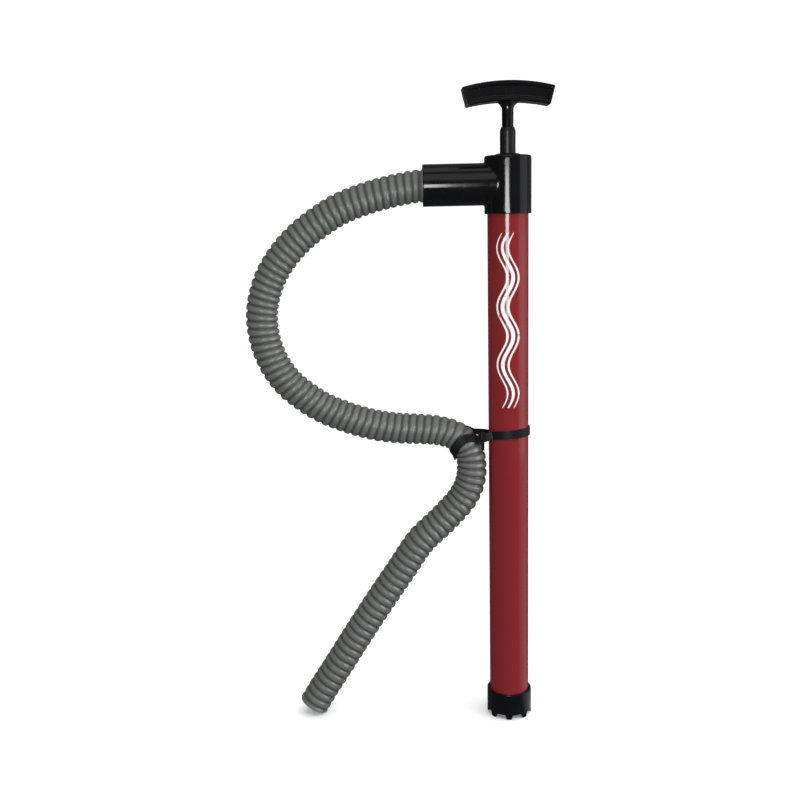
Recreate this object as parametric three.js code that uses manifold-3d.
// A hand bilge pump that stands on its strainer foot, with its hose tied to the barrel.
// Millimetres. The barrel's axis is Z, the feet stand on z = 0, and the outlet points to -X.

import * as THREE from 'three';
import { mergeVertices } from 'three/addons/utils/BufferGeometryUtils.js';
import Module from 'manifold-3d';

const wasm = await Module();
wasm.setup();

// ---------------------------------------------------------------- driving dimensions

const gap = 0.3;                  // clearance between pieces that touch
const bodyRadius = 21.1;          // 1-1/4 inch nominal pipe
const bodyBore = 19.3;
const rodRadius = 8;              // 5/8 inch tube
const rodBore = 6.3;
const pumpHeight = 604;           // feet to the head's rim
const headHeight = 57;
const hoseRadius = 16.7;          // 1-1/8 inch bilge hose over its ribs
const hoseBore = 14.3;

const largeSides = 48;
const mediumSides = 32;
const smallSides = 16;

const edgeChamfer = 0.8;          // round every open end of a black moulding
const farCut = 60;                // long enough for a cutting tool to pass right through
const overlap = 1;                // how far a cutting tool starts outside what it cuts

const foot = {
  radius: 24.15,
  height: 28.5,
  socket: bodyRadius + gap,
  skirtBore: 20,                  // inside of the ring that stands on the feet
  feet: 8,
  turn: THREE.MathUtils.degToRad(-6),
  archInner: 15,
  archRadius: 7.6,
  archHeight: 4.9,
  grilleBottom: 5,
  grilleTop: 8,
  hubRadius: 5,
  slots: 8,
  slotWidth: 3.2,
  slotInner: 6.6,
  slotOuter: 17.6,
};

const seatPlateBottom = foot.grilleTop + gap;

const seatPlate = {
  bottom: seatPlateBottom,
  top: seatPlateBottom + 3,
  radius: bodyRadius,
  ports: 6,
  portRadius: 3.2,
  portCircle: 9.8,
};

const gasket = {
  inner: bodyBore + 0.2,
  outer: bodyRadius,
  bottom: seatPlate.top + gap,
  top: seatPlate.top + gap + 1,
};

const valveLift = 4;
const valveThickness = 2;

const footValve = {
  radius: 15.2,
  bore: 2.9,
  bottom: seatPlate.top + gap,
  top: seatPlate.top + gap + valveThickness,
};

const rivet = {
  shank: 2.4,
  bottomHead: 4,
  bottomHeadThickness: 1,
  topHead: 6,
  topHeadThickness: 1.6,
  seat: footValve.top + valveLift + gap,
};

const barrelBottom = gasket.top + gap;

const head = {
  radius: 24,
  bottom: pumpHeight - headHeight,
  rim: pumpHeight,
  shoulderRadius: 20.5,           // where the rounded rim meets the flat roof
  roofTop: pumpHeight + 1.3,
  coneRadius: 15.5,               // the low cone around the rod starts here
  coneTop: pumpHeight + 3.3,
  coneTopRadius: 9.6,
  roofHole: rodRadius + 0.7,
  roofUnderside: pumpHeight - 7,
  socketDepth: 11.5,
  socket: bodyRadius + gap,
  chamber: 17.6,
};

const outlet = {
  radius: 21.3,
  height: 577,                    // its axis above the feet
  mouth: -87,
  hoseStop: -60,
  bore: 14.5,
  hoseSocket: hoseRadius + gap + 0.1,
};

const bush = {
  radius: 12,
  bore: rodRadius + gap,
  bottom: head.roofUnderside - 11,
  top: head.roofUnderside + 2.7,
  flangeRadius: 16,
  flangeThickness: 3.2,
};

const wiper = {
  bottom: bush.top + gap,
  top: bush.top + gap + 2.8,
};

// The piston's stack, from the screw head up to the rod's lower end.
const screw = {
  headRadius: 5.5,
  headThickness: 4,
  headEdge: 1,
  slotWidth: 1.6,
  slotDepth: 1.5,
  shank: 2.5,
  bottom: 21.5,
  length: 34,
};

const retainer = {
  radius: 16.9,
  bottom: screw.bottom + screw.headThickness + gap,
  thickness: 3,
};

const piston = {
  ports: 6,
  portRadius: 2.6,
  portCircle: 11.4,
  bottom: retainer.bottom + retainer.thickness + gap,
  waist: 14.8,                    // the part that the cup seal's flange goes round
  waistHeight: 2.4,
  radius: 17.1,
  plateHeight: 6.3,
  bossHeight: 13,
  bossRadius: 7.9,
};

const cupSeal = {
  inner: piston.waist + gap,
  bottom: piston.bottom,
  flangeThickness: piston.waistHeight - gap,
  footRadius: bodyBore - 3 * gap,
  lipRadius: bodyBore - gap,
  lipInner: bodyBore - 1.5,
  height: 10,
};

const pistonValve = {
  inner: piston.bossRadius + 0.5,
  outer: 15.4,
  bottom: piston.bottom + piston.plateHeight + gap,
};

const stopWasher = {
  radius: 11,
  bottom: piston.bottom + piston.bossHeight + gap,
  thickness: 1.6,
};

const rod = {
  bottom: stopWasher.bottom + stopWasher.thickness + gap,
  top: 633,
  chamfer: 1.6,                   // height of the chamfer, which takes most of the wall
  topRadius: 6.8,
};

const plug = { radius: rodBore - gap, length: 22, end: 2 };

const handle = {
  stemRadius: 5.9,
  stemBottom: 598,
  crown: 677.8,                   // top of the bar over the rod
  crownCurve: 188,
  belly: 657.8,                   // underside of the bar over the rod
  bellyCurve: 199,
  topHalfWidth: 46.7,
  bottomHalfWidth: 42,
  depth: 22,
  rim: 2.6,                       // width of the border round the sunk panels
  rimBevel: 0.8,
  panelDepth: 1.8,
  flareAlong: 9,                  // how far the stem swells along the bar where they meet
  flareAcross: 4.5,
};

const pin = { radius: 1.5, height: 615, length: 15.4 };

const tie = {
  thickness: 1.4,
  width: 8,
  lean: THREE.MathUtils.degToRad(32),   // the strap crosses the bend in the hose at this slope
  hoseMiddle: -48.7,              // middle of the leaning section through the hose, and its
  hoseAcross: 16.6,               // half width seen from above
  bridgeStart: -36,               // where the strap stops following the hose
  bridgeLength: 14,
  bridgeHeight: 316.6,
  rise: 3.6,                      // from the hose side to the far side of the barrel
  headSize: new THREE.Vector3(6.5, 5, 9.5),
  headCentre: new THREE.Vector3(-33.5, -20.6, 316),
  tailSize: new THREE.Vector3(1.3, 4.6, 16),
  tailCentre: new THREE.Vector3(-29.6, -21, 308.5),
};

// The hose's centre line, from its stop inside the outlet to the cut end on the ground.
const hoseRoute = [
  [-60.5, 0, 577],
  [-74, 0, 577],
  [-89, 0, 576.7],
  [-109, 0, 574],
  [-130, 0, 569.5],
  [-151, 0, 563.5],
  [-172, 0, 555.5],
  [-192, 0, 544],
  [-212.5, 0, 529],
  [-229, 0, 512.5],
  [-243, 0, 493],
  [-252, 0, 472.5],
  [-256.5, 0, 451.5],
  [-256, 0, 430.5],
  [-251.5, 0, 411],
  [-243, 0, 392],
  [-231, 0, 375.5],
  [-215, 0, 361.5],
  [-198, 0, 350],
  [-179, 0, 341],
  [-158, 0, 333.5],
  [-137, 0, 328],
  [-115.5, 0, 325],
  [-94, 0, 323.5],
  [-72.5, 0, 321],
  [-54, 0, 313.8],
  [-42.4, 0, 299.5],
  [-39.4, 0, 279],
  [-42.5, 0.5, 261],
  [-50.5, 1, 245.5],
  [-71.5, 2, 222],
  [-95, 3, 199],
  [-117, 4.5, 166.5],
  [-141, 5.5, 131],
  [-165, 6.5, 94],
  [-189, 7.5, 56],
  [-211, 8, 21.6],
  [-218.4, 8, 8.8],
];
const hoseSteps = 60;
const hoseSides = 12;

// ---------------------------------------------------------------- materials

function plastic(colour, roughness) {
  return new THREE.MeshStandardMaterial({ color: colour, roughness, metalness: 0 });
}

const blackPlastic = plastic('#0b0b0d', 0.18);
const redPlastic = plastic('#8a1420', 0.22);
const whiteNylon = plastic('#d9d8d0', 0.45);
const blackRubber = plastic('#161616', 0.75);
const hoseGrey = plastic('#7b8079', 0.5);
const strapNylon = plastic('#101012', 0.4);
const steel = new THREE.MeshStandardMaterial({ color: '#b9bcc0', roughness: 0.3, metalness: 1 });

// ---------------------------------------------------------------- solids

// A solid of revolution about Z, from [radius, height] corners in counter-clockwise order.
function revolve(corners, sides) {
  const points = corners.map(([radius, height]) => new THREE.Vector2(radius, height));
  if (corners[0][0] > 0) {
    points.push(points[0].clone());
  }
  return new THREE.LatheGeometry(points, sides).rotateX(Math.PI / 2);
}

function disc(radius, bottom, top, sides) {
  return revolve([[0, bottom], [radius, bottom], [radius, top], [0, top]], sides);
}

function ring(outer, inner, bottom, top, sides) {
  return revolve([[inner, bottom], [outer, bottom], [outer, top], [inner, top]], sides);
}

// A cylinder from x = from to x = to, at the given height on the Z axis.
function crossCylinder(radius, from, to, height, sides) {
  return new THREE.CylinderGeometry(radius, radius, to - from, sides)
    .rotateZ(Math.PI / 2)
    .translate((from + to) / 2, 0, height);
}

function block(size, centre) {
  return new THREE.BoxGeometry(size.x, size.y, size.z).translate(centre.x, centre.y, centre.z);
}

function toManifold(geometry) {
  const bare = geometry.clone();
  bare.deleteAttribute('normal');
  bare.deleteAttribute('uv');
  const merged = mergeVertices(bare, 1e-4);
  const corners = [];
  for (let i = 0; i < merged.index.count; i += 3) {
    const [a, b, c] = [0, 1, 2].map((k) => merged.index.getX(i + k));
    if (a !== b && b !== c && c !== a) {
      corners.push(a, b, c);
    }
  }
  return new wasm.Manifold(new wasm.Mesh({
    numProp: 3,
    vertProperties: new Float32Array(merged.attributes.position.array),
    triVerts: new Uint32Array(corners),
  }));
}

function fromManifold(manifold) {
  const mesh = manifold.getMesh();
  const geometry = new THREE.BufferGeometry();
  geometry.setAttribute('position', new THREE.BufferAttribute(mesh.vertProperties, 3));
  geometry.setIndex(new THREE.BufferAttribute(mesh.triVerts, 1));
  geometry.computeVertexNormals();
  return geometry;
}

function join(...geometries) {
  const joined = geometries.map(toManifold).reduce((whole, part) => whole.add(part));
  return fromManifold(joined);
}

function cut(geometry, ...tools) {
  const left = tools.map(toManifold).reduce((rest, tool) => rest.subtract(tool), toManifold(geometry));
  return fromManifold(left);
}

// Copies of one geometry, turned about Z by equal steps from a start angle.
function around(count, geometry, start = 0) {
  const step = (2 * Math.PI) / count;
  return Array.from({ length: count }, (_, i) => geometry.clone().rotateZ(start + i * step));
}

// Tools that cut a ring of round holes right through anything low down.
function ports(count, radius, circle) {
  return around(count, disc(radius, 0, farCut, smallSides).translate(circle, 0, 0));
}

// ---------------------------------------------------------------- foot and foot valve

function strainerCup() {
  const base = revolve([
    [0, 0],
    [foot.hubRadius, 0],
    [foot.hubRadius, foot.grilleBottom],
    [foot.skirtBore, foot.grilleBottom],
    [foot.skirtBore, 0],
    [foot.radius - edgeChamfer, 0],
    [foot.radius, edgeChamfer],
    [foot.radius, foot.height - edgeChamfer],
    [foot.radius - edgeChamfer, foot.height],
    [foot.socket, foot.height],
    [foot.socket, foot.grilleTop],
    [0, foot.grilleTop],
  ], largeSides);
  const halfPitch = Math.PI / foot.feet;
  const archCentre = foot.archHeight - foot.archRadius;
  const arch = crossCylinder(
    foot.archRadius, foot.archInner, foot.radius + overlap, archCentre, mediumSides,
  );
  const arches = around(foot.feet, arch, foot.turn + halfPitch);
  const slotLength = foot.slotOuter - foot.slotInner;
  const slotHeight = foot.grilleTop - foot.grilleBottom + 2 * overlap;
  const slot = block(
    new THREE.Vector3(slotLength, foot.slotWidth, slotHeight),
    new THREE.Vector3(
      foot.slotInner + slotLength / 2,
      0,
      (foot.grilleTop + foot.grilleBottom) / 2,
    ),
  );
  return cut(base, ...arches, ...around(foot.slots, slot, foot.turn));
}

function footValveSeat() {
  const plate = disc(seatPlate.radius, seatPlate.bottom, seatPlate.top, largeSides);
  const bore = disc(rivet.shank + gap, 0, farCut, smallSides);
  const sinkTop = seatPlate.bottom + rivet.bottomHeadThickness + gap;
  const sink = disc(rivet.bottomHead + gap, 0, sinkTop, smallSides);
  const holes = ports(seatPlate.ports, seatPlate.portRadius, seatPlate.portCircle);
  return cut(plate, bore, sink, ...holes);
}

function barrelTube() {
  const top = head.bottom + head.socketDepth - gap;
  return ring(bodyRadius, bodyBore, barrelBottom, top, largeSides);
}

function footSeatGasket() {
  return ring(gasket.outer, gasket.inner, gasket.bottom, gasket.top, largeSides);
}

function footValveDisc() {
  return ring(footValve.radius, footValve.bore, footValve.bottom, footValve.top, mediumSides);
}

function footValveRivet() {
  const bottom = seatPlate.bottom;
  return revolve([
    [0, bottom],
    [rivet.bottomHead, bottom],
    [rivet.bottomHead, bottom + rivet.bottomHeadThickness],
    [rivet.shank, bottom + rivet.bottomHeadThickness],
    [rivet.shank, rivet.seat],
    [rivet.topHead, rivet.seat],
    [rivet.topHead, rivet.seat + rivet.topHeadThickness],
    [0, rivet.seat + rivet.topHeadThickness],
  ], smallSides);
}

// ---------------------------------------------------------------- head

function pumpHead() {
  const shell = revolve([
    [0, head.bottom],
    [head.radius - edgeChamfer, head.bottom],
    [head.radius, head.bottom + edgeChamfer],
    [head.radius, head.rim - 2 * edgeChamfer],
    [head.radius - edgeChamfer, head.rim - edgeChamfer / 2],
    [head.shoulderRadius, head.roofTop],
    [head.coneRadius, head.roofTop],
    [head.coneTopRadius, head.coneTop],
    [0, head.coneTop],
  ], largeSides);
  const sleeveLength = -outlet.mouth;
  const sleeve = revolve([
    [0, 0],
    [outlet.radius, 0],
    [outlet.radius, sleeveLength - edgeChamfer],
    [outlet.radius - edgeChamfer, sleeveLength],
    [0, sleeveLength],
  ], largeSides).rotateY(-Math.PI / 2).translate(0, 0, outlet.height);

  const socketTop = head.bottom + head.socketDepth;
  const barrelSocket = disc(head.socket, head.bottom - overlap, socketTop, largeSides);
  const chamber = disc(head.chamber, socketTop - overlap, head.roofUnderside, largeSides);
  const sealPocket = disc(
    bush.radius + gap, head.roofUnderside - overlap, wiper.top + gap, mediumSides,
  );
  const rodHole = disc(head.roofHole, wiper.top - overlap, head.coneTop + overlap, mediumSides);
  const passage = crossCylinder(
    outlet.bore, outlet.hoseStop - overlap, 0, outlet.height, mediumSides,
  );
  const hoseSocket = crossCylinder(
    outlet.hoseSocket, outlet.mouth - overlap, outlet.hoseStop, outlet.height, largeSides,
  );
  return cut(join(shell, sleeve), barrelSocket, chamber, sealPocket, rodHole, passage, hoseSocket);
}

function rodGuideBush() {
  const flangeTop = head.roofUnderside - gap;
  return revolve([
    [bush.bore, bush.bottom],
    [bush.radius, bush.bottom],
    [bush.radius, flangeTop - bush.flangeThickness],
    [bush.flangeRadius, flangeTop - bush.flangeThickness],
    [bush.flangeRadius, flangeTop],
    [bush.radius, flangeTop],
    [bush.radius, bush.top],
    [bush.bore, bush.top],
  ], mediumSides);
}

// ---------------------------------------------------------------- piston

function pistonRetainer() {
  const top = retainer.bottom + retainer.thickness;
  const plate = disc(retainer.radius, retainer.bottom, top, largeSides);
  const bore = disc(screw.shank + gap, 0, farCut, smallSides);
  return cut(plate, bore, ...ports(piston.ports, piston.portRadius, piston.portCircle));
}

function pistonBody() {
  const base = revolve([
    [0, piston.bottom],
    [piston.waist, piston.bottom],
    [piston.waist, piston.bottom + piston.waistHeight],
    [piston.radius, piston.bottom + piston.waistHeight],
    [piston.radius, piston.bottom + piston.plateHeight],
    [piston.bossRadius, piston.bottom + piston.plateHeight],
    [piston.bossRadius, piston.bottom + piston.bossHeight],
    [0, piston.bottom + piston.bossHeight],
  ], largeSides);
  const bore = disc(screw.shank + gap, 0, farCut, smallSides);
  return cut(base, bore, ...ports(piston.ports, piston.portRadius, piston.portCircle));
}

// A rubber cup: a flat flange under the piston's plate and a lip that leans out to the barrel.
function pistonCupSeal() {
  const base = cupSeal.bottom;
  const lipBase = piston.radius + gap;
  return revolve([
    [cupSeal.inner, base],
    [cupSeal.footRadius, base],
    [cupSeal.lipRadius, base + cupSeal.height],
    [cupSeal.lipInner, base + cupSeal.height],
    [lipBase, base + cupSeal.flangeThickness],
    [cupSeal.inner, base + cupSeal.flangeThickness],
  ], largeSides);
}

function pistonValveDisc() {
  const top = pistonValve.bottom + valveThickness;
  return ring(pistonValve.outer, pistonValve.inner, pistonValve.bottom, top, mediumSides);
}

function valveStopWasher() {
  const top = stopWasher.bottom + stopWasher.thickness;
  return ring(stopWasher.radius, screw.shank + gap, stopWasher.bottom, top, mediumSides);
}

function pistonScrew() {
  const headTop = screw.bottom + screw.headThickness;
  const body = revolve([
    [0, screw.bottom],
    [screw.headRadius - screw.headEdge, screw.bottom],
    [screw.headRadius, screw.bottom + screw.headEdge],
    [screw.headRadius, headTop],
    [screw.shank, headTop],
    [screw.shank, headTop + screw.length],
    [0, headTop + screw.length],
  ], smallSides);
  const slot = block(
    new THREE.Vector3(2 * (screw.headRadius + overlap), screw.slotWidth, 2 * screw.slotDepth),
    new THREE.Vector3(0, 0, screw.bottom),
  );
  return cut(body, slot);
}

// ---------------------------------------------------------------- rod and handle

function pinHole() {
  return crossCylinder(pin.radius + gap, -pin.length, pin.length, pin.height, smallSides);
}

function handlePin() {
  const half = pin.length / 2;
  return crossCylinder(pin.radius, -half, half, pin.height, smallSides);
}

function pumpRod() {
  const tube = revolve([
    [rodBore, rod.bottom],
    [rodRadius, rod.bottom],
    [rodRadius, rod.top - rod.chamfer],
    [rod.topRadius, rod.top],
    [rodBore, rod.top],
  ], mediumSides);
  return cut(tube, pinHole());
}

function rodEndPlug() {
  const top = rod.bottom + plug.length;
  const body = disc(plug.radius, rod.bottom, top, smallSides);
  return cut(body, disc(screw.shank + gap, 0, top - plug.end, smallSides));
}

// The bar's outline seen from the front, drawn in by inset on every side. x is across, y is height.
function barOutline(inset) {
  const topRadius = handle.crownCurve - inset;
  const topCentre = handle.crown - handle.crownCurve;
  const bottomRadius = handle.bellyCurve + inset;
  const bottomCentre = handle.belly - handle.bellyCurve;
  const topAngle = Math.acos((handle.topHalfWidth - inset) / topRadius);
  const bottomAngle = Math.acos((handle.bottomHalfWidth - inset) / bottomRadius);
  const outline = new THREE.Path();
  outline.absarc(0, topCentre, topRadius, topAngle, Math.PI - topAngle, false);
  outline.absarc(0, bottomCentre, bottomRadius, Math.PI - bottomAngle, bottomAngle, true);
  return outline.getPoints(8);
}

// An outline in x and height, given thickness along Y about the middle plane.
function slab(shape, depth, bevel) {
  const geometry = new THREE.ExtrudeGeometry(shape, {
    depth: depth - 2 * bevel,
    bevelEnabled: bevel > 0,
    bevelThickness: bevel,
    bevelSize: bevel,
    bevelOffset: -bevel,
    bevelSegments: 1,
  });
  return geometry.translate(0, 0, bevel - depth / 2).rotateX(Math.PI / 2);
}

// The stem, which swells where it meets the bar: more along the bar than across it.
function flaredStem() {
  const steps = 5;
  const top = handle.belly + overlap;
  const base = top - handle.flareAlong;
  const flare = Array.from({ length: steps + 1 }, (_, i) => {
    const turn = (i / steps) * (Math.PI / 2);
    const swell = handle.flareAlong * (1 - Math.cos(turn));
    return [handle.stemRadius + swell, base + handle.flareAlong * Math.sin(turn)];
  });
  const stem = revolve([
    [0, handle.stemBottom],
    [handle.stemRadius, handle.stemBottom],
    ...flare,
    [0, top],
  ], mediumSides);
  const position = stem.attributes.position;
  for (let i = 0; i < position.count; i += 1) {
    const radius = Math.hypot(position.getX(i), position.getY(i));
    const swell = Math.max(radius - handle.stemRadius, 0);
    const across = handle.stemRadius + (swell * handle.flareAcross) / handle.flareAlong;
    position.setY(i, (position.getY(i) * across) / (handle.stemRadius + swell));
  }
  return stem;
}

function pumpHandle() {
  const coreDepth = handle.depth - 2 * handle.panelDepth;
  const core = slab(new THREE.Shape(barOutline(handle.rim / 2)), coreDepth, 0);
  const border = new THREE.Shape(barOutline(0));
  border.holes.push(new THREE.Path(barOutline(handle.rim)));
  const rim = slab(border, handle.depth, handle.rimBevel);
  return cut(join(core, rim, flaredStem()), pinHole());
}

// ---------------------------------------------------------------- hose and its tie

function hoseTube() {
  const curve = new THREE.CatmullRomCurve3(hoseRoute.map((point) => new THREE.Vector3(...point)));
  const section = new THREE.Shape().absarc(0, 0, hoseRadius, 0, 2 * Math.PI, false);
  section.holes.push(new THREE.Path().absarc(0, 0, hoseBore, 0, 2 * Math.PI, true));
  return new THREE.ExtrudeGeometry(section, {
    steps: hoseSteps,
    curveSegments: hoseSides / 2,   // an arc takes two sides for each segment
    extrudePath: curve,
  });
}

// The loop of a strap pulled round the barrel and the hose, seen from above, at a distance
// outside them. Each direction touches whichever of the two reaches further.
function strapLoop(offset) {
  const clear = bodyRadius + gap;
  const across = tie.hoseAcross;
  const deep = hoseRadius + gap;
  const turns = 48;
  const longestSide = 8;
  const loop = [];
  for (let i = 0; i < turns; i += 1) {
    const angle = ((i + 0.5) * 2 * Math.PI) / turns;
    const normal = new THREE.Vector2(Math.cos(angle), Math.sin(angle));
    const span = Math.hypot(across * normal.x, deep * normal.y);
    const onHose = new THREE.Vector2(
      tie.hoseMiddle + (across ** 2 * normal.x) / span,
      (deep ** 2 * normal.y) / span,
    );
    const onBarrel = normal.clone().multiplyScalar(clear);
    const touch = onHose.dot(normal) > onBarrel.dot(normal) ? onHose : onBarrel;
    loop.push(touch.addScaledVector(normal, offset));
  }
  return loop.flatMap((point, i) => {
    const next = loop[(i + 1) % turns];
    const parts = Math.ceil(point.distanceTo(next) / longestSide);
    return Array.from({ length: parts }, (_, k) => point.clone().lerp(next, k / parts));
  });
}

// Leans the flat strap where it follows the hose, and makes it rise round the barrel.
function layStrap(geometry) {
  const position = geometry.attributes.position;
  const slope = Math.tan(tie.lean);
  for (let i = 0; i < position.count; i += 1) {
    const x = position.getX(i);
    const up = position.getZ(i) - tie.width / 2;
    const along = THREE.MathUtils.clamp((x - tie.bridgeStart) / tie.bridgeLength, 0, 1);
    const lean = tie.lean * (1 - along);
    const drop = slope * Math.min(x - tie.bridgeStart, 0);
    const climb = tie.rise * Math.max(x - tie.bridgeStart, 0) / (bodyRadius - tie.bridgeStart);
    position.setX(i, x - up * Math.sin(lean));
    position.setZ(i, tie.bridgeHeight + drop + climb + up * Math.cos(lean));
  }
  return geometry;
}

function tieStrap() {
  const shape = new THREE.Shape(strapLoop(tie.thickness));
  shape.holes.push(new THREE.Path(strapLoop(0)));
  const strap = layStrap(new THREE.ExtrudeGeometry(shape, { depth: tie.width, bevelEnabled: false }));
  return join(strap, block(tie.headSize, tie.headCentre), block(tie.tailSize, tie.tailCentre));
}

// ---------------------------------------------------------------- the pump

const pump = new THREE.Group();

function add(name, geometry, material, parent = pump) {
  const mesh = new THREE.Mesh(geometry, material);
  mesh.name = name;
  parent.add(mesh);
}

add('barrel_tube', barrelTube(), redPlastic);
add('pump_head', pumpHead(), blackPlastic);
add('rod_guide_bush', rodGuideBush(), whiteNylon);
add('rod_wiper_seal', ring(bush.radius, bush.bore, wiper.bottom, wiper.top, mediumSides), blackRubber);
add('strainer_cup', strainerCup(), blackPlastic);
add('foot_valve_seat', footValveSeat(), whiteNylon);
add('foot_valve_rivet', footValveRivet(), whiteNylon);
add('foot_seat_gasket', footSeatGasket(), blackRubber);
add('hose', hoseTube(), hoseGrey);
add('hose_tie', tieStrap(), strapNylon);

const footValveBody = new THREE.Group();
pump.add(footValveBody);
add('foot_valve_disc', footValveDisc(), blackRubber, footValveBody);

const pistonBodyGroup = new THREE.Group();
pump.add(pistonBodyGroup);
add('piston_body', pistonBody(), whiteNylon, pistonBodyGroup);
add('piston_retainer', pistonRetainer(), whiteNylon, pistonBodyGroup);
add('piston_cup_seal', pistonCupSeal(), blackRubber, pistonBodyGroup);
add('piston_valve_disc', pistonValveDisc(), blackRubber, pistonBodyGroup);

const plunger = new THREE.Group();
pistonBodyGroup.add(plunger);
add('pump_rod', pumpRod(), blackPlastic, plunger);
add('rod_end_plug', rodEndPlug(), whiteNylon, plunger);
add('piston_screw', pistonScrew(), steel, plunger);
add('valve_stop_washer', valveStopWasher(), steel, plunger);
add('handle', pumpHandle(), blackPlastic, plunger);
add('handle_pin', handlePin(), steel, plunger);

export default pump;
